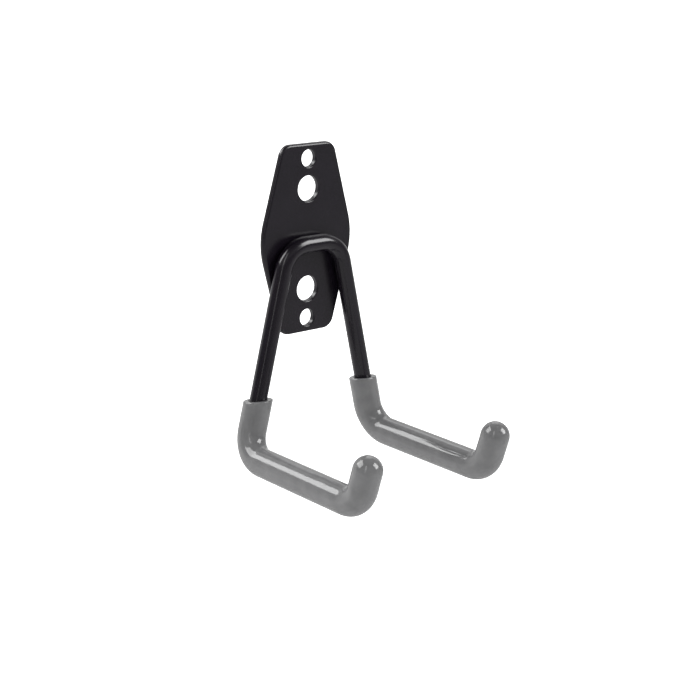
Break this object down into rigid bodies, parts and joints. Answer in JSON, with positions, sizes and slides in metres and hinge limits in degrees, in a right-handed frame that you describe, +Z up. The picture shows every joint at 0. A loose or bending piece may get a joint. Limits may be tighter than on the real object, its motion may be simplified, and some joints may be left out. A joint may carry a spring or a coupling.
{
  "type": "bike wall hanger",
  "caption": "Double wall hook for a bicycle: a bent steel rod welded to a flat screw-on back plate, with a soft grey sleeve on each upturned hook.",
  "frame": {"origin": "middle of the back plate's back face, on the wall", "axes": "+Z up the wall, +Y into the wall, so the hooks reach out towards -Y; +X across the hanger"},
  "size_m": [0.0662, 0.073, 0.1102],
  "materials": {
    "black_coat": "smooth black powder coat with a soft gloss, over steel",
    "grey_sleeve": "glossy mid-grey soft plastic"
  },
  "bodies": {
    "root": {"back_plate": "black_coat", "hook_rod": "black_coat", "weld_outer": "black_coat", "weld_inner": "black_coat", "sleeve_left": "grey_sleeve", "sleeve_right": "grey_sleeve"}
  },
  "joints": []
}
